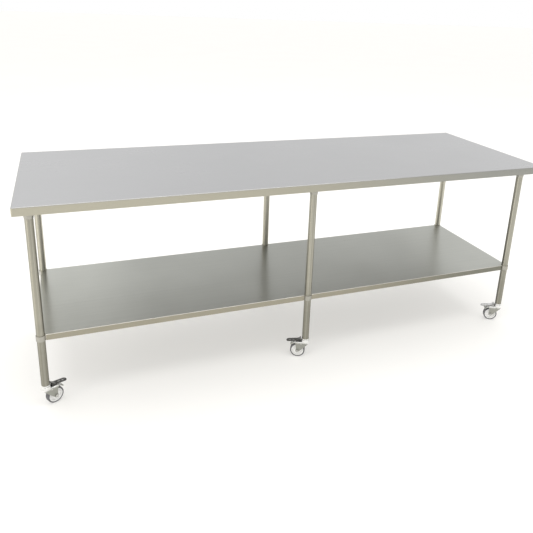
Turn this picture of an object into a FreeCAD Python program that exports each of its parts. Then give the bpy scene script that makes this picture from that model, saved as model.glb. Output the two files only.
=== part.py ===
import FreeCAD, Part
import math
import os

# Mobile stainless work table: a folded top and a folded undershelf on six round
# tube legs, each leg on a swivel castor with a brake pedal.
# Millimetres. +X runs along the table, +Y from front to back, +Z up.
# The origin is on the floor, under the middle of the top.

# Overall size
TABLE_LENGTH = 2400.0
TABLE_DEPTH = 800.0
TABLE_HEIGHT = 900.0

# Worktop: one sheet folded down on all four sides and back in at the bottom
TOP_SHEET = 1.5
APRON_DEPTH = 33.0
APRON_RETURN = 15.0
TOP_BEND_RADIUS = 3.0
TOP_CORNER_RADIUS = 5.0

# Hat channels welded under the worktop
RAIL_HEIGHT = 28.0
RAIL_CROWN = 56.0
RAIL_BRIM = 15.0
RAIL_SHEET = 1.5
RAIL_END_GAP = 2.5
STIFFENER_GAP = 1.0

# Legs: 1 1/4 inch tube
LEG_RADIUS = 15.9
LEG_WALL = 1.5
LEG_INSET_X = 50.0
LEG_INSET_Y = 96.0
LEG_BOTTOM = 100.0

# Sockets welded to the rails, with a grub screw each
SOCKET_PLATE_RADIUS = 27.0
SOCKET_PLATE = 3.0
SOCKET_RADIUS = 19.0
SOCKET_MOUTH_RADIUS = 17.0
SOCKET_BORE_GAP = 0.1
SOCKET_TAPER = 12.0
SOCKET_BOTTOM = 824.0
LEG_TOP_GAP = 1.0
GRUB_RADIUS = 3.0
GRUB_LENGTH = 6.0
GRUB_HOLE_GAP = 0.05
GRUB_TIP_GAP = 0.3
GRUB_KEY_RADIUS = 1.7
GRUB_KEY_DEPTH = 2.5
SOCKET_GRUB_HEIGHT = 848.0

# Undershelf: folded like the top, notched round the legs
SHELF_TOP = 330.0
SHELF_SHEET = 1.2
SHELF_LIP = 26.0
SHELF_RETURN = 10.0
SHELF_BEND_RADIUS = 2.5
SHELF_INSET_X = 39.0
SHELF_INSET_Y = 93.0
SHELF_HAT_HEIGHT = 20.0
SHELF_HAT_CROWN = 60.0
SHELF_HAT_BRIM = 15.0
SHELF_HAT_END_GAP = 30.0
LIP_TO_COLLAR = 1.0

# Collars that slide on the legs and clamp with a grub screw
COLLAR_RADIUS = 18.5
COLLAR_BORE_GAP = 0.08
COLLAR_HEIGHT = 24.0
COLLAR_RIM_FILLET = 0.8
COLLAR_GRUB_DROP = 15.0

# Castor: the swivel axis is the leg's axis, and the wheel trails along local +X
WHEEL_RADIUS = 35.0
TREAD_WIDTH = 22.0
TREAD_INNER_RADIUS = 29.0
TREAD_SHOULDER = 3.5
HUB_RIM_WIDTH = 20.0
HUB_RIM_INNER_RADIUS = 25.5
HUB_BOSS_RADIUS = 11.0
HUB_BOSS_WIDTH = 24.0
HUB_WEB = 8.0
HUB_DRAFT = 2.0
TRAIL = 35.0
RUNNING_GAP = 0.05

# Fork: pressed cheeks joined by a crown that arches over the wheel
FORK_SHEET = 2.5
FORK_INNER_WIDTH = 25.0
FORK_CROWN_TOP = 81.5
FORK_FRONT = -16.0
FORK_FRONT_DROP = 6.0
FORK_CORNER_RADIUS = 5.0
FORK_BEND_RADIUS = 3.0
FORK_BOSS_RADIUS = 8.5
FORK_BOSS_START = 15.0
FORK_BOSS_END = -140.0
FORK_ARCH_START = 90.0
FORK_ARCH_END = 42.0
FORK_SKIRT = 4.5
FORK_SKIRT_ROOT = 72.0
FORK_WAIST = (42.8, 56.0)
FORK_PLATE_TOP = 84.0
FORK_WINDOW_START = 20.3
FORK_WINDOW_END = 50.0
FORK_WINDOW_HALF = 11.7

# Swivel head: cup on the fork, cap and kingpin on the stem, balls between
CUP_RADIUS = 19.0
CUP_BORE_RADIUS = 15.1
CUP_TOP = 93.5
CAP_RADIUS = 18.0
CAP_BOTTOM = 94.2
CAP_FILLET = 1.5
RACE_BOTTOM = 90.1
RACE_RADIUS = 14.8
KINGPIN_HUB_RADIUS = 9.0
KINGPIN_HUB_BOTTOM = 84.2
KINGPIN_RADIUS = 5.0
KINGPIN_HEAD_RADIUS = 8.5
KINGPIN_HEAD_TOP = 78.8
KINGPIN_HEAD = 3.5
BALL_RADIUS = 3.0
BALL_COUNT = 12

# Rubber expander that grips the inside of the leg, and its nut
EXPANDER_BOTTOM = 103.0
EXPANDER_HEIGHT = 42.0
EXPANDER_WALL_GAP = 0.1
STEM_TOP = 157.0
STEM_NUT_HEIGHT = 8.0
STEM_NUT_FLATS = 17.0

# Axle bolt, nut, spacer and the pedal's rivet
AXLE_RADIUS = 4.0
AXLE_SLEEVE_RADIUS = 6.0
AXLE_HEAD_FLATS = 13.0
AXLE_HEAD_HEIGHT = 5.0
AXLE_NUT_HEIGHT = 6.5
AXLE_END = 2.0
RIVET_RADIUS = 2.5
RIVET_HEAD_RADIUS = 4.2
RIVET_HEAD_HEIGHT = 1.8

# Brake pedal: a channel that swings on the rivet and presses a shoe on the tread
PEDAL_PIVOT_X = 18.0
PEDAL_PIVOT_Z = 74.6
PEDAL_EYE_RADIUS = 3.9
PEDAL_HALF_WIDTH = 11.0
PEDAL_RIM = 2.0
PEDAL_REACH = 90.0
PEDAL_TIP_TOP = 81.5
PEDAL_TIP_BOTTOM = 78.0
PEDAL_HEEL_X = 21.5
PEDAL_HEEL_TOP = 99.0
PEDAL_HEEL_THICKNESS = 2.5
PEDAL_RAMP = ((29.5, 93.0), (38.0, 89.0))
PEDAL_RIM_DEEPEST = (62.0, 81.6)
PEDAL_ARM_BACK = ((47.0, 84.4), (44.0, 80.0))
PEDAL_SLOT_CENTRES = (57.0, 74.0)
PEDAL_SLOT_LENGTH = 12.0
PEDAL_SLOT_RADIUS = 2.4
SHOE_START = 36.0
SHOE_END = 44.0
SHOE_BOTTOM = 73.1

# How each castor stands: name, leg column, leg row, heading of the wheel in degrees
CASTORS = (
    ("front_left", -1, -1, 30.0),
    ("front_middle", 0, -1, 153.0),
    ("front_right", 1, -1, 151.0),
    ("back_left", -1, 1, 320.0),
    ("back_middle", 0, 1, 215.0),
    ("back_right", 1, 1, 235.0),
)

# Slack for picking edges by their extents, and overshoot of cutting tools
TOLERANCE = 0.01
CUT_MARGIN = 1.0

# Worked out from the sizes above
HALF_LENGTH = TABLE_LENGTH / 2
HALF_DEPTH = TABLE_DEPTH / 2
LEG_X = HALF_LENGTH - LEG_INSET_X
LEG_Y = HALF_DEPTH - LEG_INSET_Y
APRON_BOTTOM = TABLE_HEIGHT - APRON_DEPTH
RAIL_TOP = TABLE_HEIGHT - TOP_SHEET
RAIL_BOTTOM = RAIL_TOP - RAIL_HEIGHT
SOCKET_PLATE_BOTTOM = RAIL_BOTTOM - SOCKET_PLATE
LEG_TOP = SOCKET_PLATE_BOTTOM - LEG_TOP_GAP
SHELF_HALF_LENGTH = HALF_LENGTH - SHELF_INSET_X
SHELF_HALF_DEPTH = HALF_DEPTH - SHELF_INSET_Y
FORK_HALF_INNER = FORK_INNER_WIDTH / 2
FORK_HALF_WIDTH = FORK_HALF_INNER + FORK_SHEET
FORK_CROWN_BOTTOM = FORK_CROWN_TOP - FORK_SHEET
FORK_ARCH_RADIUS = FORK_CROWN_TOP - WHEEL_RADIUS

Vector = FreeCAD.Vector
X_AXIS = Vector(1, 0, 0)
Y_AXIS = Vector(0, 1, 0)
Z_AXIS = Vector(0, 0, 1)
ORIGIN = Vector(0, 0, 0)


def box(x_range, y_range, z_range):
    """Box between two corners."""
    corner = Vector(x_range[0], y_range[0], z_range[0])
    size = (x_range[1] - x_range[0], y_range[1] - y_range[0], z_range[1] - z_range[0])
    return Part.makeBox(*size, corner)


def upright(radius, z_bottom, z_top, x=0.0, y=0.0):
    """Vertical cylinder."""
    return Part.makeCylinder(radius, z_top - z_bottom, Vector(x, y, z_bottom), Z_AXIS)


def crosswise(radius, half_width, x, z):
    """Cylinder along Y, centred on the XZ plane."""
    return Part.makeCylinder(radius, 2 * half_width, Vector(x, -half_width, z), Y_AXIS)


def turned(outline):
    """Solid of revolution about Z, from (radius, height) points."""
    points = [Vector(radius, 0, height) for radius, height in outline]
    face = Part.Face(Part.makePolygon(points + points[:1]))
    return face.revolve(ORIGIN, Z_AXIS, 360)


def side_slab(points, half_width):
    """Slab across Y, from an (x, z) outline of straight edges."""
    corners = [Vector(x, -half_width, z) for x, z in points]
    face = Part.Face(Part.makePolygon(corners + corners[:1]))
    return face.extrude(Vector(0, 2 * half_width, 0))


def hexagon(across_flats, height):
    """Hexagonal prism standing on the XY plane."""
    corner_radius = across_flats / math.sqrt(3)
    corners = [
        Vector(corner_radius * math.cos(k * math.pi / 3), corner_radius * math.sin(k * math.pi / 3), 0)
        for k in range(7)
    ]
    return Part.Face(Part.makePolygon(corners)).extrude(Vector(0, 0, height))


def edges_where(shape, test):
    """Edges whose bounding box passes the test."""
    return [edge for edge in shape.Edges if test(edge.BoundBox)]


def folded_block(half_length, half_depth, z_bottom, z_top, corner_radius, bend_radius):
    """Block with rounded upright corners and a rounded top edge."""
    block = box((-half_length, half_length), (-half_depth, half_depth), (z_bottom, z_top))
    if corner_radius > 0:
        corners = edges_where(block, lambda b: b.ZLength > b.XLength + b.YLength)
        block = block.makeFillet(corner_radius, corners)
    rim = edges_where(block, lambda b: b.ZMin > z_top - TOLERANCE)
    return block.makeFillet(bend_radius, rim)


def folded_pan(half_length, half_depth, z_top, depth, sheet, lip_return, corner_radius, bend_radius):
    """Sheet folded down along four sides and back in at the bottom."""
    z_bottom = z_top - depth
    outside = folded_block(half_length, half_depth, z_bottom, z_top, corner_radius, bend_radius)
    inside = folded_block(
        half_length - sheet,
        half_depth - sheet,
        z_bottom + sheet,
        z_top - sheet,
        max(corner_radius - sheet, 0),
        bend_radius - sheet,
    )
    mouth = box(
        (lip_return - half_length, half_length - lip_return),
        (lip_return - half_depth, half_depth - lip_return),
        (z_bottom - sheet, z_bottom + 2 * sheet),
    )
    return outside.cut(inside).cut(mouth)


def hat_channel(length, height, crown, brim, sheet):
    """Hat section along X: brims at z = 0, crown hanging below."""
    half = crown / 2
    right = [
        (half + brim, 0),
        (half + brim, -sheet),
        (half, -sheet),
        (half, -height),
    ]
    inner = [
        (half - sheet, -height + sheet),
        (half - sheet, 0),
    ]
    outline = right + [(-y, z) for y, z in reversed(right)]
    outline += [(-y, z) for y, z in reversed(inner)] + inner
    points = [Vector(-length / 2, y, z) for y, z in outline]
    return Part.Face(Part.makePolygon(points + points[:1])).extrude(Vector(length, 0, 0))


def placed(shape, x, y, heading=0.0):
    """Copy of a shape turned about Z, then moved to (x, y)."""
    copy = shape.copy()
    copy.rotate(ORIGIN, Z_AXIS, heading)
    copy.translate(Vector(x, y, 0))
    return copy


def at_every_leg(make):
    """Compound of one solid per leg, made by make(x, y, inward)."""
    return Part.makeCompound([make(col * LEG_X, row * LEG_Y, -row) for _, col, row, _ in CASTORS])


# Top

def worktop():
    return folded_pan(
        HALF_LENGTH,
        HALF_DEPTH,
        TABLE_HEIGHT,
        APRON_DEPTH,
        TOP_SHEET,
        APRON_RETURN,
        TOP_CORNER_RADIUS,
        TOP_BEND_RADIUS,
    )


def top_rail(column):
    """Hat channel across the table over one pair of legs."""
    length = TABLE_DEPTH - 2 * (TOP_SHEET + RAIL_END_GAP)
    rail = hat_channel(length, RAIL_HEIGHT, RAIL_CROWN, RAIL_BRIM, RAIL_SHEET)
    rail.rotate(ORIGIN, Z_AXIS, 90)
    rail.translate(Vector(column * LEG_X, 0, RAIL_TOP))
    return rail


def top_stiffener(side):
    """Lengthwise hat channel between two cross rails."""
    length = LEG_X - RAIL_CROWN - 2 * (RAIL_BRIM + STIFFENER_GAP)
    stiffener = hat_channel(length, RAIL_HEIGHT, RAIL_CROWN, RAIL_BRIM, RAIL_SHEET)
    stiffener.translate(Vector(side * LEG_X / 2, 0, RAIL_TOP))
    return stiffener


# Legs and sockets

def leg(x, y):
    tube = upright(LEG_RADIUS, LEG_BOTTOM, LEG_TOP, x, y)
    return tube.cut(upright(LEG_RADIUS - LEG_WALL, LEG_BOTTOM, LEG_TOP, x, y))


def grub_screw(x, y, inward, tip_radius, height, hole=False):
    """Grub screw pointing at a leg from the inside of the table, or its hole."""
    radius = GRUB_RADIUS + (GRUB_HOLE_GAP if hole else 0)
    direction = Vector(0, inward, 0)
    start = Vector(x, y, height) + direction * tip_radius
    screw = Part.makeCylinder(radius, GRUB_LENGTH, start, direction)
    if hole:
        return screw
    key_start = start + direction * (GRUB_LENGTH - GRUB_KEY_DEPTH)
    return screw.cut(Part.makeCylinder(GRUB_KEY_RADIUS, GRUB_KEY_DEPTH, key_start, direction))


def leg_socket(x, y, inward):
    """Plate and tapered cup that the top of a leg stands in."""
    cup = turned([
        (LEG_RADIUS + SOCKET_BORE_GAP, SOCKET_BOTTOM),
        (SOCKET_MOUTH_RADIUS, SOCKET_BOTTOM),
        (SOCKET_RADIUS, SOCKET_BOTTOM + SOCKET_TAPER),
        (SOCKET_RADIUS, SOCKET_PLATE_BOTTOM),
        (SOCKET_PLATE_RADIUS, SOCKET_PLATE_BOTTOM),
        (SOCKET_PLATE_RADIUS, RAIL_BOTTOM),
        (0, RAIL_BOTTOM),
        (0, SOCKET_PLATE_BOTTOM),
        (LEG_RADIUS + SOCKET_BORE_GAP, SOCKET_PLATE_BOTTOM),
    ])
    hole = grub_screw(0, 0, inward, LEG_RADIUS, SOCKET_GRUB_HEIGHT, hole=True)
    return placed(cup.cut(hole), x, y)


def leg_socket_screw(x, y, inward):
    return grub_screw(x, y, inward, LEG_RADIUS, SOCKET_GRUB_HEIGHT)


# Undershelf

def undershelf():
    """Folded shelf, notched to the collars, with its lips cut back from them."""
    shelf = folded_pan(
        SHELF_HALF_LENGTH,
        SHELF_HALF_DEPTH,
        SHELF_TOP,
        SHELF_LIP,
        SHELF_SHEET,
        SHELF_RETURN,
        0,
        SHELF_BEND_RADIUS,
    )
    lip_top = SHELF_TOP - SHELF_BEND_RADIUS
    lip_bottom = SHELF_TOP - SHELF_LIP
    for _, col, row, _ in CASTORS:
        x = col * LEG_X
        y = row * LEG_Y
        notch = upright(COLLAR_RADIUS, lip_bottom - CUT_MARGIN, SHELF_TOP + CUT_MARGIN, x, y)
        lip_gap = upright(COLLAR_RADIUS + LIP_TO_COLLAR, lip_bottom - CUT_MARGIN, lip_top, x, y)
        shelf = shelf.cut(notch).cut(lip_gap)
    return shelf


def shelf_stiffener():
    length = 2 * (SHELF_HALF_LENGTH - SHELF_HAT_END_GAP)
    hat = hat_channel(length, SHELF_HAT_HEIGHT, SHELF_HAT_CROWN, SHELF_HAT_BRIM, SHELF_SHEET)
    hat.translate(Vector(0, 0, SHELF_TOP - SHELF_SHEET))
    return hat


def shelf_collar(x, y, inward):
    bottom = SHELF_TOP - COLLAR_HEIGHT
    ring = upright(COLLAR_RADIUS, bottom, SHELF_TOP)
    rims = edges_where(ring, lambda b: b.ZLength < TOLERANCE and b.XLength > COLLAR_RADIUS)
    ring = ring.makeFillet(COLLAR_RIM_FILLET, rims)
    ring = ring.cut(upright(LEG_RADIUS + COLLAR_BORE_GAP, bottom, SHELF_TOP))
    height = SHELF_TOP - COLLAR_GRUB_DROP
    hole = grub_screw(0, 0, inward, LEG_RADIUS, height, hole=True)
    return placed(ring.cut(hole), x, y)


def shelf_collar_screw(x, y, inward):
    height = SHELF_TOP - COLLAR_GRUB_DROP
    return grub_screw(x, y, inward, LEG_RADIUS + GRUB_TIP_GAP, height)


# Castor pieces, in the castor's own frame

def castor_stem():
    """Kingpin, ball race cap under the leg, and the bolt up into the leg."""
    stem = turned([
        (0, KINGPIN_HEAD_TOP - KINGPIN_HEAD),
        (KINGPIN_HEAD_RADIUS, KINGPIN_HEAD_TOP - KINGPIN_HEAD),
        (KINGPIN_HEAD_RADIUS, KINGPIN_HEAD_TOP),
        (KINGPIN_RADIUS, KINGPIN_HEAD_TOP),
        (KINGPIN_RADIUS, KINGPIN_HUB_BOTTOM),
        (KINGPIN_HUB_RADIUS, KINGPIN_HUB_BOTTOM),
        (KINGPIN_HUB_RADIUS, RACE_BOTTOM),
        (RACE_RADIUS, RACE_BOTTOM),
        (RACE_RADIUS, CAP_BOTTOM),
        (CAP_RADIUS, CAP_BOTTOM),
        (CAP_RADIUS, LEG_BOTTOM),
        (KINGPIN_RADIUS, LEG_BOTTOM),
        (KINGPIN_RADIUS, STEM_TOP),
        (0, STEM_TOP),
    ])
    cap_edges = edges_where(
        stem,
        lambda b: b.ZLength < TOLERANCE and b.XLength > 2 * (CAP_RADIUS - TOLERANCE),
    )
    return stem.makeFillet(CAP_FILLET, cap_edges)


def expander():
    return turned([
        (KINGPIN_RADIUS, EXPANDER_BOTTOM),
        (LEG_RADIUS - LEG_WALL - EXPANDER_WALL_GAP, EXPANDER_BOTTOM),
        (LEG_RADIUS - LEG_WALL - EXPANDER_WALL_GAP, EXPANDER_BOTTOM + EXPANDER_HEIGHT),
        (KINGPIN_RADIUS, EXPANDER_BOTTOM + EXPANDER_HEIGHT),
    ])


def expander_nut():
    nut = hexagon(STEM_NUT_FLATS, STEM_NUT_HEIGHT)
    nut = nut.cut(upright(KINGPIN_RADIUS, 0, STEM_NUT_HEIGHT))
    nut.translate(Vector(0, 0, EXPANDER_BOTTOM + EXPANDER_HEIGHT))
    return nut


def balls():
    """Ring of bearing balls in the swivel head."""
    ring_radius = (KINGPIN_HUB_RADIUS + CUP_BORE_RADIUS) / 2
    height = (FORK_PLATE_TOP + RACE_BOTTOM) / 2
    ring = []
    for index in range(BALL_COUNT):
        angle = 2 * math.pi * index / BALL_COUNT
        centre = Vector(ring_radius * math.cos(angle), ring_radius * math.sin(angle), height)
        ring.append(Part.makeSphere(BALL_RADIUS, centre))
    return ring


def wheel_arc(radius, start_degrees, end_degrees, y):
    """Arc about the wheel's centre, seen from the side."""
    points = []
    for degrees in (start_degrees, (start_degrees + end_degrees) / 2, end_degrees):
        angle = math.radians(degrees)
        points.append(Vector(TRAIL + radius * math.cos(angle), y, WHEEL_RADIUS + radius * math.sin(angle)))
    return Part.Arc(*points).toShape()


def fork_side_outline():
    """Cheek seen from the side: sloping front, round axle boss, arch over the wheel with a
    narrow skirt, and a hollowed back edge between the skirt and the boss."""
    y = -FORK_HALF_WIDTH
    arch = wheel_arc(FORK_ARCH_RADIUS, FORK_ARCH_START, FORK_ARCH_END, y)
    boss = wheel_arc(FORK_BOSS_RADIUS, FORK_BOSS_START, FORK_BOSS_END, y)
    skirt = wheel_arc(FORK_ARCH_RADIUS - FORK_SKIRT, FORK_ARCH_END, FORK_SKIRT_ROOT, y)
    waist = Vector(FORK_WAIST[0], y, FORK_WAIST[1])
    front_top = Vector(FORK_FRONT, y, FORK_CROWN_TOP)
    front_low = Vector(FORK_FRONT, y, FORK_CROWN_TOP - FORK_FRONT_DROP)
    edges = [
        arch,
        Part.makeLine(arch.Vertexes[-1].Point, skirt.Vertexes[0].Point),
        skirt,
        Part.Arc(skirt.Vertexes[-1].Point, waist, boss.Vertexes[0].Point).toShape(),
        boss,
        Part.makeLine(boss.Vertexes[-1].Point, front_low),
        Part.makeLine(front_low, front_top),
        Part.makeLine(front_top, arch.Vertexes[0].Point),
    ]
    return Part.Face(Part.Wire(edges))


def fork():
    """Pressed fork with its ball cup, open over the wheel for the brake shoe."""
    body = fork_side_outline().extrude(Vector(0, 2 * FORK_HALF_WIDTH, 0))
    front_corners = edges_where(
        body,
        lambda b: b.XMax < FORK_FRONT + TOLERANCE and b.YLength < TOLERANCE,
    )
    body = body.makeFillet(FORK_CORNER_RADIUS, front_corners)
    bends = edges_where(
        body,
        lambda b: b.ZMax > FORK_CROWN_TOP - TOLERANCE and b.ZMin > WHEEL_RADIUS + FORK_BOSS_RADIUS
        and b.XLength > b.YLength,
    )
    body = body.makeFillet(FORK_BEND_RADIUS, bends)
    far = 2 * PEDAL_REACH
    pocket = crosswise(FORK_ARCH_RADIUS - FORK_SHEET, FORK_HALF_INNER, TRAIL, WHEEL_RADIUS)
    pocket = pocket.fuse(box((-far, TRAIL), (-FORK_HALF_INNER, FORK_HALF_INNER), (0, FORK_CROWN_BOTTOM)))
    pocket = pocket.fuse(box((TRAIL, far), (-FORK_HALF_INNER, FORK_HALF_INNER), (0, WHEEL_RADIUS)))
    body = body.cut(pocket)
    cup = upright(CUP_RADIUS, FORK_CROWN_BOTTOM, CUP_TOP)
    rims = edges_where(cup, lambda b: b.ZLength < TOLERANCE and b.XLength > CUP_RADIUS)
    cup = cup.makeFillet(CAP_FILLET, rims)
    body = body.fuse(cup).removeSplitter()
    body = body.cut(upright(CUP_BORE_RADIUS, FORK_PLATE_TOP, CUP_TOP))
    body = body.cut(upright(KINGPIN_RADIUS + RUNNING_GAP, FORK_CROWN_BOTTOM, FORK_PLATE_TOP))
    body = body.cut(crosswise(AXLE_RADIUS, FORK_HALF_WIDTH, TRAIL, WHEEL_RADIUS))
    body = body.cut(crosswise(RIVET_RADIUS, FORK_HALF_WIDTH, PEDAL_PIVOT_X, PEDAL_PIVOT_Z))
    window = box(
        (FORK_WINDOW_START, FORK_WINDOW_END),
        (-FORK_WINDOW_HALF, FORK_WINDOW_HALF),
        (FORK_CROWN_BOTTOM - 2 * FORK_SHEET, FORK_PLATE_TOP),
    )
    return body.cut(window)


def on_axle(shape):
    """Turn a piece built about Z onto the axle."""
    shape.rotate(ORIGIN, X_AXIS, 90)
    shape.translate(Vector(TRAIL, 0, WHEEL_RADIUS))
    return shape


def mirrored_outline(half):
    """Close a half outline over its mirror image below the middle."""
    return half + [(radius, -height) for radius, height in reversed(half)]


def wheel_hub():
    """Plastic wheel centre: boss, dished web and rim."""
    hub = turned(mirrored_outline([
        (AXLE_SLEEVE_RADIUS + RUNNING_GAP, HUB_BOSS_WIDTH / 2),
        (HUB_BOSS_RADIUS, HUB_BOSS_WIDTH / 2),
        (HUB_BOSS_RADIUS + HUB_DRAFT, HUB_WEB / 2),
        (HUB_RIM_INNER_RADIUS - HUB_DRAFT, HUB_WEB / 2),
        (HUB_RIM_INNER_RADIUS, HUB_RIM_WIDTH / 2),
        (TREAD_INNER_RADIUS, HUB_RIM_WIDTH / 2),
    ]))
    return on_axle(hub)


def wheel_tread():
    """Grey tyre bonded on the rim, with rounded shoulders."""
    tread = turned(mirrored_outline([
        (TREAD_INNER_RADIUS, TREAD_WIDTH / 2),
        (WHEEL_RADIUS, TREAD_WIDTH / 2),
    ]))
    shoulders = edges_where(
        tread,
        lambda b: b.ZLength < TOLERANCE and b.XLength > 2 * (WHEEL_RADIUS - TOLERANCE),
    )
    return on_axle(tread.makeFillet(TREAD_SHOULDER, shoulders))


def axle_set():
    """Axle bolt, its nut, the spacer that the wheel turns on, and the pedal's rivet."""
    shank_end = -FORK_HALF_WIDTH - AXLE_NUT_HEIGHT - AXLE_END
    bolt = upright(AXLE_RADIUS, shank_end, FORK_HALF_WIDTH)
    head = hexagon(AXLE_HEAD_FLATS, AXLE_HEAD_HEIGHT)
    head.translate(Vector(0, 0, FORK_HALF_WIDTH))
    nut = hexagon(AXLE_HEAD_FLATS, AXLE_NUT_HEIGHT)
    nut.translate(Vector(0, 0, -FORK_HALF_WIDTH - AXLE_NUT_HEIGHT))
    nut = nut.cut(upright(AXLE_RADIUS, -FORK_HALF_WIDTH - AXLE_NUT_HEIGHT, -FORK_HALF_WIDTH))
    sleeve = upright(AXLE_SLEEVE_RADIUS, -FORK_HALF_INNER, FORK_HALF_INNER)
    sleeve = sleeve.cut(upright(AXLE_RADIUS, -FORK_HALF_INNER, FORK_HALF_INNER))
    rivet = crosswise(RIVET_RADIUS, FORK_HALF_WIDTH, PEDAL_PIVOT_X, PEDAL_PIVOT_Z)
    for y in (-FORK_HALF_WIDTH - RIVET_HEAD_HEIGHT, FORK_HALF_WIDTH):
        rivet = rivet.fuse(
            Part.makeCylinder(
                RIVET_HEAD_RADIUS,
                RIVET_HEAD_HEIGHT,
                Vector(PEDAL_PIVOT_X, y, PEDAL_PIVOT_Z),
                Y_AXIS,
            )
        )
    pieces = [on_axle(piece) for piece in (bolt.fuse(head), nut, sleeve)]
    return pieces + [rivet]


def pedal():
    """Brake pedal: heel beside the leg, foot plate behind the wheel, shoe below."""
    ramp_low_x, plate_z = PEDAL_RAMP[-1]
    side = side_slab(
        [
            (PEDAL_HEEL_X, PEDAL_HEEL_TOP),
            (PEDAL_HEEL_X + PEDAL_HEEL_THICKNESS, PEDAL_HEEL_TOP),
            *PEDAL_RAMP,
            (PEDAL_REACH, PEDAL_TIP_TOP),
            (PEDAL_REACH, PEDAL_TIP_BOTTOM),
            PEDAL_RIM_DEEPEST,
            *PEDAL_ARM_BACK,
            (PEDAL_PIVOT_X, PEDAL_PIVOT_Z - PEDAL_EYE_RADIUS),
            (PEDAL_PIVOT_X - PEDAL_EYE_RADIUS, PEDAL_PIVOT_Z),
            (PEDAL_HEEL_X, PEDAL_PIVOT_Z + PEDAL_EYE_RADIUS),
        ],
        PEDAL_HALF_WIDTH,
    )
    side = side.fuse(crosswise(PEDAL_EYE_RADIUS, PEDAL_HALF_WIDTH, PEDAL_PIVOT_X, PEDAL_PIVOT_Z))
    tip_centre = PEDAL_REACH - PEDAL_HALF_WIDTH
    plan = upright(PEDAL_HALF_WIDTH, 0, PEDAL_HEEL_TOP, tip_centre)
    plan = plan.fuse(box((0, tip_centre), (-PEDAL_HALF_WIDTH, PEDAL_HALF_WIDTH), (0, PEDAL_HEEL_TOP)))
    body = side.common(plan)
    hollow_half = PEDAL_HALF_WIDTH - PEDAL_RIM
    hollow = side_slab(
        [
            (0, 0),
            (0, plate_z - PEDAL_RIM),
            (ramp_low_x, plate_z - PEDAL_RIM),
            (PEDAL_REACH, PEDAL_TIP_TOP - PEDAL_RIM),
            (PEDAL_REACH, 0),
        ],
        hollow_half,
    )
    hollow_plan = upright(hollow_half, 0, PEDAL_HEEL_TOP, tip_centre)
    hollow_plan = hollow_plan.fuse(box((0, tip_centre), (-hollow_half, hollow_half), (0, PEDAL_HEEL_TOP)))
    body = body.cut(hollow.common(hollow_plan))
    shoe = box((SHOE_START, SHOE_END), (-hollow_half, hollow_half), (SHOE_BOTTOM, plate_z - PEDAL_RIM / 2))
    body = body.fuse(shoe)
    body = body.cut(crosswise(RIVET_RADIUS + RUNNING_GAP, PEDAL_HALF_WIDTH, PEDAL_PIVOT_X, PEDAL_PIVOT_Z))
    half_slot = PEDAL_SLOT_LENGTH / 2 - PEDAL_SLOT_RADIUS
    for centre in PEDAL_SLOT_CENTRES:
        slot = box(
            (centre - half_slot, centre + half_slot),
            (-PEDAL_SLOT_RADIUS, PEDAL_SLOT_RADIUS),
            (0, PEDAL_HEEL_TOP),
        )
        for end in (-half_slot, half_slot):
            slot = slot.fuse(upright(PEDAL_SLOT_RADIUS, 0, PEDAL_HEEL_TOP, centre + end))
        body = body.cut(slot)
    return body.removeSplitter()


# Assembly

def save(name, shape):
    shape.exportStep(os.path.join("parts", name + ".step"))


def save_top():
    save("worktop", worktop())
    for name, column in (("left", -1), ("middle", 0), ("right", 1)):
        save("top_rail_" + name, top_rail(column))
    for name, side in (("left", -1), ("right", 1)):
        save("top_stiffener_" + name, top_stiffener(side))
    save("leg_sockets", at_every_leg(leg_socket))
    save("leg_socket_screws", at_every_leg(leg_socket_screw))


def save_shelf():
    save("undershelf", undershelf())
    save("shelf_stiffener", shelf_stiffener())
    save("shelf_collars", at_every_leg(shelf_collar))
    save("shelf_collar_screws", at_every_leg(shelf_collar_screw))


def save_castors():
    """One set of castor pieces, repeated under every leg at its own heading."""
    stem = castor_stem()
    single_pieces = {
        "fork": fork(),
        "wheel": wheel_hub(),
        "tread": wheel_tread(),
        "axle": Part.makeCompound(axle_set()),
        "pedal": pedal(),
    }
    all_balls = []
    all_expanders = []
    all_nuts = []
    for name, col, row, heading in CASTORS:
        x = col * LEG_X
        y = row * LEG_Y
        save("leg_" + name, leg(x, y))
        save("stem_" + name, placed(stem, x, y))
        for kind, shape in single_pieces.items():
            save(kind + "_" + name, placed(shape, x, y, heading))
        all_balls += [placed(ball, x, y) for ball in balls()]
        all_expanders.append(placed(expander(), x, y))
        all_nuts.append(placed(expander_nut(), x, y))
    save("swivel_balls", Part.makeCompound(all_balls))
    save("stem_expanders", Part.makeCompound(all_expanders))
    save("stem_nuts", Part.makeCompound(all_nuts))


os.makedirs("parts", exist_ok=True)
save_top()
save_shelf()
save_castors()
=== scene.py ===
import math

import bmesh
import bpy
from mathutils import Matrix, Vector


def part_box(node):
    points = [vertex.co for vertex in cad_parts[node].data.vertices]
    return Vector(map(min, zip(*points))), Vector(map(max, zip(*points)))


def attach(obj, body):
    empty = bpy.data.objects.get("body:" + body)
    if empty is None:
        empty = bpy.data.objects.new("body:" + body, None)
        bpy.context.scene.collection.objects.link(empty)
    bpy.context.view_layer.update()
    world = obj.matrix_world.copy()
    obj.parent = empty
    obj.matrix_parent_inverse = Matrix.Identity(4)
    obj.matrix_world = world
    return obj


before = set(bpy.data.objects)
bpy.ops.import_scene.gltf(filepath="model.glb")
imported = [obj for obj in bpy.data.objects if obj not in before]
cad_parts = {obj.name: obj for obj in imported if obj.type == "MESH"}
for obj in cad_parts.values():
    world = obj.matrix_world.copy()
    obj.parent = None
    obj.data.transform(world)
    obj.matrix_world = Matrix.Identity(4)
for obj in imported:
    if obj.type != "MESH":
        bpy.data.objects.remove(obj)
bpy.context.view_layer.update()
scene = bpy.context.scene

LEGS = ("front_left", "front_middle", "front_right", "back_left", "back_middle", "back_right")
X_WAY, Y_WAY = 0, 1
WHITE = (1.0, 1.0, 1.0)

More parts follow.
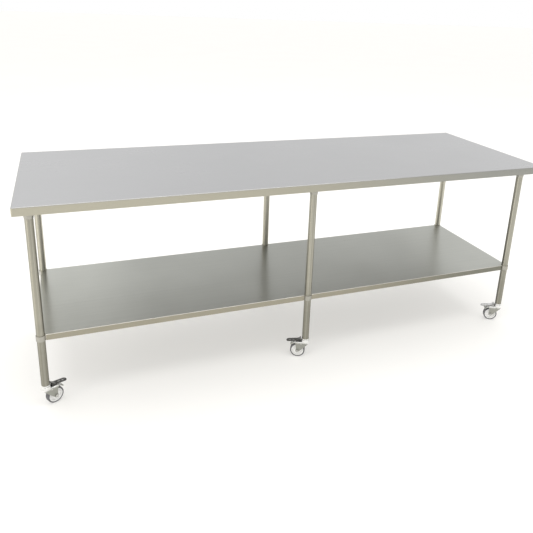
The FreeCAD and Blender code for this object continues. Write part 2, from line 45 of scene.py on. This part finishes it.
# Camera: where it stands (metres), how it is turned (radians), lens and film width (mm), and shift
CAMERA_LOCATION = (-1.0053, -2.4841, 1.6120)
CAMERA_ROTATION = (1.264042, -0.040779, -0.367281)
CAMERA_LENS = 38.71
FILM_WIDTH = 36.0
CAMERA_SHIFT = (-0.0361, -0.1501)
CAMERA_CLIP = (0.05, 300.0)

# Brightness of the surround, as radiance: at the horizon, above it behind the table, overhead and
# behind the camera, and how much more there is high up at the left and right, and far out at both ends
HORIZON_LEVEL = 1.0
BACKDROP_LEVEL = 1.15
OVERHEAD_LEVEL = 0.95
CAMERA_SIDE_LEVEL = 0.90
LEFT_LIFT = 0.55
RIGHT_LIFT = 0.30
END_LIFT = 0.10

# Where those levels turn into one another, as parts of a direction: the first three bands go up
# along Z, the next three go out to the sides along X, and the last goes to the back along Y
BACKDROP_BAND = (0.02, 0.22)
HIGH_BAND = (0.34, 0.44)
OVERHEAD_BAND = (0.35, 0.95)
LEFT_BAND = (0.25, -0.05)
RIGHT_BAND = (0.52, 0.75)
END_BAND = (0.76, 0.92)
BACK_BAND = (-0.7, 0.5)

# The floor: half its width (metres), its own glow, the shares of the glow lost in front of the
# table and to the right there, the stretches along Y and X over which it is lost (metres),
# the floor's usual two tones, and the darker colour it turns towards as the glow is lost, a painted
# shade
FLOOR_REACH = 60.0
FLOOR_GLOW = 0.42
GLOW_COLOUR = (1.0, 0.985, 0.955)
FRONT_FADE = 0.30
RIGHT_FADE = 0.30
FRONT_STRETCH = (-1.2, -3.2)
RIGHT_STRETCH = (-1.2, 1.2)
FLOOR_TONES = ((0.50, 0.495, 0.480), (0.53, 0.525, 0.510))
FRONT_FLOOR_SHADE = (0.42, 0.416, 0.402)

# Weld beads: radius (metres), the share of it by which they are sunk, length and spacing of the
# stitches along the channels (metres), and on a socket plate the angle that each arc covers
# and the places of their middles (degrees)
BEAD_RADIUS = 0.0017
BEAD_SINK = 0.35
STITCH_LENGTH = 0.024
STITCH_SPACING = 0.15
SOCKET_ARC_DEGREES = 36.0
SOCKET_ARC_PLACES = (45.0, 135.0, 225.0, 315.0)

# The shape of a bead: sides round it, the share of its radius that it has at either end and gains
# with each ring from there, the depth of its ripples, and the depth and the turn from ring to ring
# (radians) of a less regular change along it
BEAD_SIDES = 8
BEAD_TAPER = 0.35
RIPPLE_DEPTH = 0.13
DRIFT_DEPTH = 0.06
DRIFT_TURN = 1.7


# ---------------------------------------------------------------- shader helpers

# The Mix node has sockets for every kind of value: these are its share, its two colours and
# the mixed colour
MIX_SHARE, MIX_FIRST, MIX_SECOND = 0, 6, 7
MIX_RESULT = 2

# Noise seldom leaves this range, so what is made from it starts and stops inside or near it
NOISE_LOW, NOISE_HIGH = 0.3, 0.7


def opaque(colour):
    """A plain colour with full alpha. An output socket stays as it is."""
    if isinstance(colour, bpy.types.NodeSocket):
        return colour
    return (*colour, 1.0)


class Tree:
    """A small shader graph: adds nodes and joins them by a socket's name or number."""

    def __init__(self, tree):
        self.tree = tree
        self.tree.nodes.clear()

    def add(self, kind, inputs=None, **settings):
        node = self.tree.nodes.new(kind)
        for name, value in settings.items():
            setattr(node, name, value)
        for socket, value in (inputs or {}).items():
            self.put(node, socket, value)
        return node

    def put(self, node, socket, value):
        """Join an output socket to an input, or set the input's own value."""
        if isinstance(value, bpy.types.NodeSocket):
            self.tree.links.new(value, node.inputs[socket])
        else:
            node.inputs[socket].default_value = value

    def direction(self):
        """The way the surface faces."""
        return self.add("ShaderNodeNewGeometry").outputs["Normal"]

    def parts(self, vector):
        """The X, Y and Z of a vector."""
        return self.add("ShaderNodeSeparateXYZ", {"Vector": vector}).outputs

    def noise(self, vector, scale, detail=2.0, roughness=0.5):
        inputs = {"Vector": vector, "Scale": scale, "Detail": detail, "Roughness": roughness}
        return self.add("ShaderNodeTexNoise", inputs).outputs["Fac"]

    def stretched_noise(self, coordinates, scales, detail, roughness=0.5):
        """Noise with its own scale on each axis, drawn out along the smallest."""
        node = self.add("ShaderNodeMapping", {"Vector": coordinates, "Scale": scales})
        return self.noise(node.outputs["Vector"], 1.0, detail, roughness)

    def remap(self, value, from_low, from_high, to_low, to_high, curve="LINEAR"):
        inputs = {
            "Value": value, "From Min": from_low, "From Max": from_high,
            "To Min": to_low, "To Max": to_high,
        }
        return self.add("ShaderNodeMapRange", inputs, interpolation_type=curve).outputs["Result"]

    def mask(self, value, start, full, curve="LINEAR"):
        """0 up to start, and 1 from full on."""
        return self.remap(value, start, full, 0.0, 1.0, curve)

    def swing(self, noise, amount):
        """Noise as a change of up to amount either way."""
        return self.remap(noise, NOISE_LOW, NOISE_HIGH, -amount, amount)

    def calculate(self, operation, first, second=0.0):
        return self.add("ShaderNodeMath", {0: first, 1: second}, operation=operation).outputs["Value"]

    def plus(self, first, second):
        return self.calculate("ADD", first, second)

    def minus(self, first, second):
        return self.calculate("SUBTRACT", first, second)

    def times(self, first, second):
        return self.calculate("MULTIPLY", first, second)

    def weigh(self, first, second, share):
        """The first value with a share of the second in it."""
        return self.plus(self.times(first, 1.0 - share), self.times(second, share))

    def mix(self, share, first, second):
        """The first colour with a share of the second in it."""
        inputs = {MIX_SHARE: share, MIX_FIRST: opaque(first), MIX_SECOND: opaque(second)}
        return self.add("ShaderNodeMix", inputs, data_type="RGBA").outputs[MIX_RESULT]

    def scaled(self, colour, share):
        node = self.add("ShaderNodeVectorMath", {0: colour, "Scale": share}, operation="SCALE")
        return node.outputs["Vector"]

    def bump(self, shader, height, depth, strength=1.0):
        """Relief on the surface, from a height pattern and its depth in metres."""
        node = self.add("ShaderNodeBump", {"Strength": strength, "Distance": depth, "Height": height})
        self.put(shader, "Normal", node.outputs["Normal"])


def new_material(name, metallic=0.0):
    material = bpy.data.materials.new(name)
    material.use_nodes = True
    tree = Tree(material.node_tree)
    shader = tree.add("ShaderNodeBsdfPrincipled", {"Metallic": metallic})
    tree.add("ShaderNodeOutputMaterial", {"Surface": shader.outputs["BSDF"]})
    place = tree.add("ShaderNodeTexCoord").outputs["Object"]
    return material, tree, shader, place


# ---------------------------------------------------------------- materials

# How far a surface's direction leans along an axis where each mask starts and where it is full:
# facing up (or down), facing the table's ends, past the side on an upper bend, and flat on top
UP_START, UP_FULL = 0.55, 0.9
END_START, END_FULL = 0.6, 0.8
BEND_START, BEND_FULL = 0.08, 0.30
FLAT_START, FLAT_FULL = 0.97, 0.995

# Brushing of the sheets: scale of its noise across and along it (per metre), the share of that
# scale in the coarser of its two layers, and the depth of the finest marks on sheets and tubes
# (metres)
GRAIN_ACROSS = 1000.0
GRAIN_ALONG = 4.0
COARSE_SHARE = 0.07
BRUSHING_DEPTH = 0.00001

# The sheets' extra roughness underneath and on the ground welds, how far those welds reach from
# a corner (metres), and the range of roughness that smudges give the sheets and the tubes
UNDER_ROUGHNESS = 0.16
WELD_ROUGHNESS = 0.10
WELD_REACH = 0.014
SHEET_SMUDGE = 0.025
TUBE_SMUDGE = 0.03

# Noise scales on the tubes, per axis (per metre): polishing marks round them, wider bands round
# them, and streaks down them, with the most that a streak's colour covers
POLISH_SCALES = (45.0, 45.0, 1500.0)
BAND_SCALES = (6.0, 6.0, 120.0)
STREAK_SCALES = (143.0, 143.0, 0.7)
STREAK_COVER = 0.75

# The way that the painted shade on the front right leg's inner side faces, along X and Y (the left
# leg's is its mirror image), how nearly a surface faces that way where the painted shade starts and is
# full, and the share of brightness that it takes away
SHADE_WAY_X, SHADE_WAY_Y = -0.85, 0.53
SHADE_START, SHADE_FULL = 0.72, 0.94
SHADE_LOSS = 0.72

# Along Y, the front row of legs lies before the first of these and the back row beyond the
# second (metres)
ROW_CHANGE = (-0.1, 0.1)

HEAT_TINT = (0.36, 0.30, 0.21)
SETTLED_GRIME = (0.28, 0.27, 0.235)


def upward(tree):
    """Mask of what faces up."""
    return tree.mask(tree.parts(tree.direction())["Z"], UP_START, UP_FULL)


def facing(tree):
    """Masks from the surface's direction: up, down, towards the table's ends, and on an upper bend."""
    lean = tree.parts(tree.direction())
    up = tree.mask(lean["Z"], UP_START, UP_FULL)
    down = tree.mask(lean["Z"], -UP_START, -UP_FULL)
    endward = tree.mask(tree.calculate("ABSOLUTE", lean["X"]), END_START, END_FULL)
    past_side = tree.mask(lean["Z"], BEND_START, BEND_FULL)
    before_top = tree.remap(lean["Z"], FLAT_START, FLAT_FULL, 1.0, 0.0)
    return up, down, endward, tree.times(past_side, before_top)


def grain_noise(tree, place, endward):
    """Brushing that runs along X, and up and down on the end faces: a fine and a coarse layer."""
    layers = []
    for share in (1.0, COARSE_SHARE):
        fine, long = GRAIN_ACROSS * share, GRAIN_ALONG * share
        along = tree.stretched_noise(place, (long, fine, fine), detail=3.0, roughness=0.6)
        upright = tree.stretched_noise(place, (fine, fine, long), detail=3.0, roughness=0.6)
        layers.append(tree.plus(along, tree.times(tree.minus(upright, along), endward)))
    return layers


def across_grain(tree, endward):
    """Direction across the brushing, in which the surface draws out what it reflects."""
    grain = tree.add("ShaderNodeCombineXYZ", {"X": tree.minus(1.0, endward), "Z": endward})
    inputs = {0: tree.direction(), 1: grain.outputs["Vector"]}
    return tree.add("ShaderNodeVectorMath", inputs, operation="CROSS_PRODUCT").outputs["Vector"]


def wear(tree, place, smudge, tone):
    """Change of roughness: wide hand smudges, small marks and the brushing itself."""
    cloud = tree.noise(place, 2.3, detail=4.0, roughness=0.55)
    marks = tree.noise(place, 21.0, detail=5.0, roughness=0.7)
    worn = tree.remap(tree.plus(cloud, tree.times(marks, 0.35)), 0.45, 0.90, -smudge, smudge)
    return tree.plus(worn, tree.swing(tone, 0.03))


def corner_band(tree, place, half_size):
    """Mask of the ground weld at the four upright corners."""
    parts = tree.parts(place)
    near = [
        tree.mask(tree.calculate("ABSOLUTE", parts[axis]), half - WELD_REACH, half - WELD_REACH / 2)
        for axis, half in zip("XY", half_size)
    ]
    return tree.times(*near)


def folded_sheet(
    name, top, left_side_light, right_side_shade, side_turn, under, bend, roughness, anisotropy, contrast,
    corner_weld=None, ends=None,
):
    """Brushed stainless sheet: polished on top, with a painted highlight along the bends, and matt
    underneath, where its darker colour is painted shade.
    The folded edges carry painted light: warmer and lighter at the left, they turn from the left
    side's colour to the right side's along X between the two places in side_turn.
    corner_weld: half the sheet's length and depth, where its corners are welded and ground.
    ends: how far along X the upper face starts and stops growing brighter, a painted light, and by
    what share at the left and the right."""
    material, tree, shader, place = new_material(name, metallic=1.0)
    # painted shade: what faces down takes the darker under colour
    up, down, endward, bent = facing(tree)
    fine, coarse = grain_noise(tree, place, endward)
    tone = tree.weigh(fine, coarse, 0.5)
    along = tree.parts(place)["X"]
    # painted light: the folded edges' colour turns from warm and lit at the left to shaded at the
    # right
    side = tree.mix(tree.mask(along, *side_turn, "SMOOTHSTEP"), left_side_light, right_side_shade)
    # painted highlight: the bend colour sets how bright the reflection along the upper bends looks
    colour = tree.mix(bent, tree.mix(down, tree.mix(up, side, top), under), bend)
    shade = tree.remap(tone, 0.34, 0.66, 1.0 - contrast, 1.0)
    # painted light: the upper face grows brighter towards both ends
    if ends:
        start, stop, left_gain, right_gain = ends
        left = tree.remap(along, -start, -stop, 0.0, left_gain, "SMOOTHSTEP")
        right = tree.remap(along, start, stop, 0.0, right_gain, "SMOOTHSTEP")
        gain = tree.times(up, tree.plus(left, right))
        shade = tree.times(shade, tree.plus(gain, 1.0))
    tree.put(shader, "Base Color", tree.scaled(colour, shade))
    rough = tree.plus(wear(tree, place, SHEET_SMUDGE, tone), roughness)
    rough = tree.plus(rough, tree.times(down, UNDER_ROUGHNESS))
    if corner_weld:
        rough = tree.plus(rough, tree.times(corner_band(tree, place, corner_weld), WELD_ROUGHNESS))
    tree.put(shader, "Roughness", rough)
    tree.put(shader, "Anisotropic", anisotropy)
    tree.put(shader, "Tangent", across_grain(tree, endward))
    tree.bump(shader, fine, BRUSHING_DEPTH)
    return material


def polished_tube(
    name, light, dark, streak, edge, roughness, anisotropy, shade_heights, shade_share, back_row_light,
    corner_x,
):
    """Belt-polished tube: the fine grain runs round it, so reflections are drawn out along it,
    over lengthwise streaks from the drawing of the tube. edge tints its outlines.
    Below shade_heights it has a painted shade, keeping shade_share of its brightness. The back
    legs have back_row_light of the front ones' brightness, a painted light, and the front corner
    legs, which reach corner_x along X, have painted shade on the side towards the middle of the shelf."""
    material, tree, shader, place = new_material(name, metallic=1.0)
    fine = tree.stretched_noise(place, POLISH_SCALES, detail=3.0, roughness=0.6)
    bands = tree.stretched_noise(place, BAND_SCALES, detail=3.0)
    drawn = tree.stretched_noise(place, STREAK_SCALES, detail=1.0)
    tone = tree.weigh(fine, bands, 0.5)
    polish = tree.mix(tree.mask(tone, 0.36, 0.64), dark, light)
    polish = tree.mix(tree.remap(drawn, 0.40, 0.62, 0.0, STREAK_COVER), polish, streak)

    parts = tree.parts(place)
    # painted shade: the tube grows darker towards the bottom, below the given heights
    ragged = tree.plus(parts["Z"], tree.swing(tree.noise(place, 14.0, detail=4.0), 0.05))
    lower_shade = tree.remap(ragged, *shade_heights, shade_share, 1.0)

    # painted shade on the front corner legs' sides towards the middle of the shelf
    lean = tree.parts(tree.direction())
    inward = tree.times(lean["X"], tree.times(parts["X"], SHADE_WAY_X / corner_x))
    inward = tree.plus(inward, tree.times(lean["Y"], SHADE_WAY_Y))
    front_row = tree.remap(parts["Y"], *ROW_CHANGE, 1.0, 0.0)
    inner_shade = tree.times(front_row, tree.remap(inward, SHADE_START, SHADE_FULL, 0.0, SHADE_LOSS))
    # painted light: the back legs are made brighter than the front ones
    row = tree.remap(parts["Y"], *ROW_CHANGE, 1.0, back_row_light)
    kept = tree.times(row, tree.minus(1.0, inner_shade))

    tree.put(shader, "Base Color", tree.scaled(polish, tree.times(kept, lower_shade)))
    tree.put(shader, "Specular Tint", opaque(edge))
    tree.put(shader, "Roughness", tree.plus(wear(tree, place, TUBE_SMUDGE, tone), roughness))
    tree.put(shader, "Anisotropic", anisotropy)
    upright = tree.add("ShaderNodeCombineXYZ", {"Z": 1.0})
    tree.put(shader, "Tangent", upright.outputs["Vector"])
    tree.bump(shader, fine, BRUSHING_DEPTH)
    return material


def mill_finish(name, light, dark, roughness):
    """Unpolished stainless of channels, sockets and collars: cloudy, finely pitted, with heat tint,
    and grime settled on what faces up."""
    material, tree, shader, place = new_material(name, metallic=1.0)
    cloud = tree.noise(place, 26.0, detail=5.0, roughness=0.6)
    pits = tree.noise(place, 900.0)
    tone = tree.weigh(cloud, pits, 0.35)
    metal = tree.mix(tree.mask(tone, 0.36, 0.64), dark, light)
    tint = tree.remap(tree.noise(place, 11.0, detail=3.0), 0.58, 0.75, 0.0, 0.25)
    tinted = tree.mix(tint, metal, HEAT_TINT)
    tree.put(shader, "Base Color", tree.mix(upward(tree), tinted, SETTLED_GRIME))
    tree.put(shader, "Roughness", tree.plus(tree.swing(tone, 0.05), roughness))
    tree.bump(shader, pits, 0.00003, strength=0.5)
    return material


def plated_steel(name, light, dark, roughness, grime, shade_colour=None, shade_heights=None, worn=None):
    """Plated pressing: cloudy plating, fine speckle and grime.
    shade_colour: painted shade, the colour below shade_heights; worn: lighter colour rubbed bare on
    upward faces."""
    material, tree, shader, place = new_material(name, metallic=1.0)
    cloud = tree.noise(place, 75.0, detail=4.0, roughness=0.6)
    speckle = tree.noise(place, 420.0)
    tone = tree.weigh(cloud, speckle, 0.4)
    plating = tree.mix(tree.mask(tone, 0.36, 0.62), dark, light)
    # painted shade: the colour darkens below the given heights
    if shade_colour:
        ragged = tree.plus(tree.parts(place)["Z"], tree.swing(cloud, 0.004))
        plating = tree.mix(tree.mask(ragged, *shade_heights), shade_colour, plating)
    if worn:
        rubbed = tree.times(upward(tree), tree.remap(cloud, 0.38, 0.55, 0.35, 1.0))
        plating = tree.mix(rubbed, plating, worn)
    dirt = tree.remap(tree.noise(place, 38.0, detail=5.0, roughness=0.65), 0.56, 0.78, 0.0, 0.35)
    tree.put(shader, "Base Color", tree.mix(dirt, plating, grime))
    tree.put(shader, "Roughness", tree.plus(tree.swing(tone, 0.06), roughness))
    tree.bump(shader, speckle, 0.0001, strength=0.35)
    return material


def moulded(name, light, dark, roughness, grain_scale, grain_depth, dust=None, specular=0.5):
    """Moulded plastic or rubber with a fine skin texture, scuffs and a little dust."""
    material, tree, shader, place = new_material(name)
    cloud = tree.noise(place, 60.0, detail=4.0, roughness=0.6)
    body = tree.mix(tree.mask(cloud, 0.35, 0.68), dark, light)
    if dust:
        scuffs = tree.remap(tree.noise(place, 160.0, detail=5.0, roughness=0.7), 0.52, 0.75, 0.0, 0.6)
        body = tree.mix(scuffs, body, dust)
    tree.put(shader, "Base Color", body)
    tree.put(shader, "Roughness", tree.plus(tree.swing(cloud, 0.07), roughness))
    tree.put(shader, "Specular IOR Level", specular)
    tree.bump(shader, tree.noise(place, grain_scale), grain_depth, strength=0.5)
    return material


top_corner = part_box("worktop")[1]
# Painted light and shade in these finishes: the sheets' edge, bend and underside colours, the shelf's
# brighter ends, the tube's darker lower part, its darker inner sides and brighter back legs, and the
# zinc's darker lower colour
MATERIALS = {
    "stainless_top": folded_sheet(
        "stainless_top", top=(0.393, 0.394, 0.398),
        left_side_light=(0.495, 0.474, 0.388), right_side_shade=(0.388, 0.390, 0.362), side_turn=(-0.4, 1.0),
        under=(0.30, 0.295, 0.28), bend=(0.36, 0.356, 0.342),
        roughness=0.30, anisotropy=0.55, contrast=0.04, corner_weld=(top_corner.x, top_corner.y),
    ),
    "stainless_shelf": folded_sheet(
        "stainless_shelf", top=(0.378, 0.383, 0.354),
        left_side_light=(0.368, 0.344, 0.272), right_side_shade=(0.226, 0.224, 0.186), side_turn=(0.0, 1.1),
        under=(0.30, 0.295, 0.27), bend=(0.70, 0.68, 0.62),
        roughness=0.31, anisotropy=0.82, contrast=0.10, ends=(0.60, 1.0, 0.24, 0.12),
    ),
    "stainless_frame": mill_finish(
        "stainless_frame", light=(0.43, 0.42, 0.375), dark=(0.37, 0.36, 0.32), roughness=0.36,
    ),
    "stainless_tube": polished_tube(
        "stainless_tube", light=(0.470, 0.455, 0.388), dark=(0.420, 0.410, 0.352),
        streak=(0.330, 0.318, 0.262), edge=(0.66, 0.65, 0.62), roughness=0.34, anisotropy=0.78,
        shade_heights=(0.24, 0.42), shade_share=0.76, back_row_light=1.3,
        corner_x=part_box("leg_front_right")[1].x,
    ),
    "zinc_plate": plated_steel(
        "zinc_plate", light=(0.93, 0.93, 0.92), dark=(0.82, 0.82, 0.80), roughness=0.36,
        grime=(0.34, 0.33, 0.30), shade_colour=(0.36, 0.363, 0.33), shade_heights=(0.071, 0.081),
    ),
    "pedal_steel": plated_steel(
        "pedal_steel", light=(0.11, 0.11, 0.107), dark=(0.055, 0.055, 0.053), roughness=0.38,
        grime=(0.08, 0.076, 0.07), worn=(0.20, 0.20, 0.195),
    ),
    "fastener_steel": plated_steel(
        "fastener_steel", light=(0.62, 0.62, 0.60), dark=(0.48, 0.48, 0.46), roughness=0.24,
        grime=(0.22, 0.20, 0.18),
    ),
    "wheel_plastic": moulded(
        "wheel_plastic", light=(0.86, 0.86, 0.85), dark=(0.80, 0.80, 0.785), roughness=0.40,
        grain_scale=900.0, grain_depth=0.00004, dust=(0.66, 0.65, 0.62),
    ),
    "tread_rubber": moulded(
        "tread_rubber", light=(0.155, 0.155, 0.160), dark=(0.105, 0.105, 0.110), roughness=0.60,
        grain_scale=700.0, grain_depth=0.00012, dust=(0.24, 0.235, 0.225), specular=0.35,
    ),
    "expander_rubber": moulded(
        "expander_rubber", light=(0.035, 0.035, 0.037), dark=(0.022, 0.022, 0.024), roughness=0.6,
        grain_scale=700.0, grain_depth=0.0001, specular=0.4,
    ),
}
WELD = mill_finish("weld_bead", light=(0.52, 0.50, 0.44), dark=(0.36, 0.33, 0.27), roughness=0.30)

# One pedal has a lighter, speckled copy of the pedal finish: painted light for the brighter reflection
# it shows
LIT_PEDAL = "pedal_front_right"
LIT_PEDAL_STEEL = plated_steel(
    "pedal_steel_lit", light=(0.55, 0.55, 0.54), dark=(0.16, 0.16, 0.155), roughness=0.34,
    grime=(0.12, 0.115, 0.11), worn=(0.62, 0.62, 0.61),
)

for node_name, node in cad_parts.items():
    for slot_index, slot_material in enumerate(node.data.materials):
        base_name = slot_material.name.split(".")[0]
        finish = LIT_PEDAL_STEEL if node_name == LIT_PEDAL else MATERIALS[base_name]
        node.data.materials[slot_index] = finish


# ---------------------------------------------------------------- weld beads

def add_bead(mesh, path):
    """Half-sunk bead along a path, in overlapping ripples, tapering to its two ends."""
    last = len(path) - 1
    rings = []
    for index, point in enumerate(path):
        ahead = path[min(index + 1, last)] - path[max(index - 1, 0)]
        across = ahead.cross(Vector((0, 0, 1))).normalized()
        above = across.cross(ahead).normalized()
        taper = min(1.0, BEAD_TAPER + BEAD_TAPER * min(index, last - index))
        ripple = RIPPLE_DEPTH * math.cos(index * math.pi)
        drift = DRIFT_DEPTH * math.sin(index * DRIFT_TURN)
        radius = BEAD_RADIUS * taper * (1.0 + ripple + drift)
        ring = []
        for side in range(BEAD_SIDES):
            angle = 2 * math.pi * side / BEAD_SIDES
            offset = math.cos(angle) * across + math.sin(angle) * above
            ring.append(mesh.verts.new(point + radius * offset))
        rings.append(ring)
    for first, second in zip(rings, rings[1:]):
        for side in range(BEAD_SIDES):
            after = (side + 1) % BEAD_SIDES
            mesh.faces.new((first[side], first[after], second[after], second[side]))
    mesh.faces.new(rings[0])
    mesh.faces.new(reversed(rings[-1]))


def stitches(node, along):
    """Short beads down both edges of a channel, where its brims lie on the sheet above."""
    low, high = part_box(node)
    start, end = low[along] + STITCH_LENGTH, high[along] - STITCH_LENGTH
    count = round((end - start) / STITCH_SPACING)
    across = 1 - along
    steps = 14
    paths = []
    for edge in (low[across], high[across]):
        for index in range(count + 1):
            middle = start + (end - start) * index / count
            path = []
            for step in range(steps + 1):
                point = Vector((0, 0, high.z - BEAD_RADIUS * BEAD_SINK))
                point[along] = middle + STITCH_LENGTH * (step / steps - 0.5)
                point[across] = edge
                path.append(point)
            paths.append(path)
    return paths


def socket_arcs():
    """Four arcs round each socket plate, where it lies on its channel."""
    plate_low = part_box("leg_sockets")[0]
    corner_leg = (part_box("leg_front_left")[0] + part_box("leg_front_left")[1]) / 2
    plate_radius = corner_leg.x - plate_low.x
    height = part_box("top_rail_left")[0].z - BEAD_RADIUS * BEAD_SINK
    steps = 12
    paths = []
    for leg in LEGS:
        low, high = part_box("leg_" + leg)
        centre = (low + high) / 2
        for middle in SOCKET_ARC_PLACES:
            path = []
            for step in range(steps + 1):
                angle = math.radians(middle + SOCKET_ARC_DEGREES * (step / steps - 0.5))
                x = centre.x + plate_radius * math.cos(angle)
                y = centre.y + plate_radius * math.sin(angle)
                path.append(Vector((x, y, height)))
            paths.append(path)
    return paths


def weld_beads(name, body, paths):
    """All the beads of one body, as one rounded piece in the bare weld's own finish."""
    shape = bmesh.new()
    for path in paths:
        add_bead(shape, path)
    bmesh.ops.recalc_face_normals(shape, faces=shape.faces)
    mesh = bpy.data.meshes.new(name)
    shape.to_mesh(mesh)
    shape.free()
    mesh.shade_smooth()
    mesh.materials.append(WELD)
    piece = bpy.data.objects.new(name, mesh)
    scene.collection.objects.link(piece)
    rounded = piece.modifiers.new("rounded", "SUBSURF")
    rounded.levels = rounded.render_levels = 1
    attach(piece, body)


top_welds = socket_arcs()
for rail in ("top_rail_left", "top_rail_middle", "top_rail_right"):
    top_welds += stitches(rail, Y_WAY)
for stiffener in ("top_stiffener_left", "top_stiffener_right"):
    top_welds += stitches(stiffener, X_WAY)
weld_beads("weld_beads_top", "table", top_welds)
weld_beads("weld_beads_shelf", "undershelf", stitches("shelf_stiffener", X_WAY))


# ---------------------------------------------------------------- studio

def floor():
    """Plain pale floor, wide enough to reach the horizon. Its own glow fades in front of the table,
    most at the right, and there its colour darkens, a painted shade."""
    far = FLOOR_REACH
    mesh = bpy.data.meshes.new("floor")
    corners = [(-far, -far, 0), (far, -far, 0), (far, far, 0), (-far, far, 0)]
    mesh.from_pydata(corners, [], [(0, 1, 2, 3)])
    piece = bpy.data.objects.new("floor", mesh)
    scene.collection.objects.link(piece)
    material, tree, shader, place = new_material("floor")
    parts = tree.parts(place)
    front = tree.mask(parts["Y"], *FRONT_STRETCH, "SMOOTHSTEP")
    right = tree.remap(parts["X"], *RIGHT_STRETCH, 0.0, RIGHT_FADE, "SMOOTHSTEP")
    lost = tree.times(front, tree.plus(right, FRONT_FADE))
    pale = tree.mix(tree.noise(place, 0.8, detail=3.0), *FLOOR_TONES)
    # painted shade: the floor's colour darkens in front of the table as its glow fades
    tree.put(shader, "Base Color", tree.mix(lost, pale, FRONT_FLOOR_SHADE))
    tree.put(shader, "Roughness", 0.9)
    tree.put(shader, "Emission Color", opaque(GLOW_COLOUR))
    tree.put(shader, "Emission Strength", tree.times(tree.minus(1.0, lost), FLOOR_GLOW))
    mesh.materials.append(material)


def studio_world():
    """White surround: bright behind the table and overhead, dimmer behind the camera."""
    world = bpy.data.worlds.new("studio")
    scene.world = world
    world.use_nodes = True
    tree = Tree(world.node_tree)
    way = tree.parts(tree.add("ShaderNodeTexCoord").outputs["Generated"])
    raised = tree.remap(way["Z"], *BACKDROP_BAND, HORIZON_LEVEL, BACKDROP_LEVEL)
    left = tree.remap(way["X"], *LEFT_BAND, 0.0, LEFT_LIFT)
    right = tree.remap(way["X"], *RIGHT_BAND, 0.0, RIGHT_LIFT)
    high_ends = tree.times(tree.mask(way["Z"], *HIGH_BAND), tree.plus(left, right))
    far_out = tree.remap(tree.calculate("ABSOLUTE", way["X"]), *END_BAND, 0.0, END_LIFT)
    backdrop = tree.plus(raised, tree.plus(high_ends, far_out))
    towards_back = tree.mask(way["Y"], *BACK_BAND)
    above_camera_side = tree.minus(backdrop, CAMERA_SIDE_LEVEL)
    level = tree.plus(tree.times(towards_back, above_camera_side), CAMERA_SIDE_LEVEL)
    overhead = tree.mask(way["Z"], *OVERHEAD_BAND)
    change = tree.times(overhead, tree.minus(OVERHEAD_LEVEL, level))
    inputs = {"Color": opaque(WHITE), "Strength": tree.plus(level, change)}
    background = tree.add("ShaderNodeBackground", inputs)
    tree.add("ShaderNodeOutputWorld", {"Surface": background.outputs["Background"]})


def soft_box(name, location, target, size, power, colour):
    light = bpy.data.lights.new(name, "AREA")
    light.shape = "RECTANGLE"
    light.size, light.size_y = size
    light.energy = power
    light.color = colour
    lamp = bpy.data.objects.new(name, light)
    lamp.location = location
    aim = Vector(target) - Vector(location)
    lamp.rotation_euler = aim.to_track_quat("-Z", "Y").to_euler()
    lamp.visible_camera = False
    scene.collection.objects.link(lamp)


def camera():
    data = bpy.data.cameras.new("camera")
    data.lens = CAMERA_LENS
    data.sensor_width = FILM_WIDTH
    data.shift_x, data.shift_y = CAMERA_SHIFT
    data.clip_start, data.clip_end = CAMERA_CLIP
    piece = bpy.data.objects.new("camera", data)
    piece.location = CAMERA_LOCATION
    piece.rotation_euler = CAMERA_ROTATION
    scene.collection.objects.link(piece)
    scene.camera = piece


floor()
studio_world()
soft_box(
    "overhead", location=(0.0, -0.6, 6.0), target=(0.0, 0.0, 0.0), size=(7.0, 5.0),
    power=260.0, colour=WHITE,
)
soft_box(
    "left_side_light", location=(-4.4, -1.8, 1.6), target=(-0.6, 0.0, 0.5), size=(1.4, 3.0),
    power=34.0, colour=(1.0, 0.94, 0.82),
)
camera()

scene.view_settings.view_transform = "Standard"
scene.view_settings.look = "None"
scene.view_settings.exposure = 0.0
scene.view_settings.gamma = 1.0

bpy.context.view_layer.update()
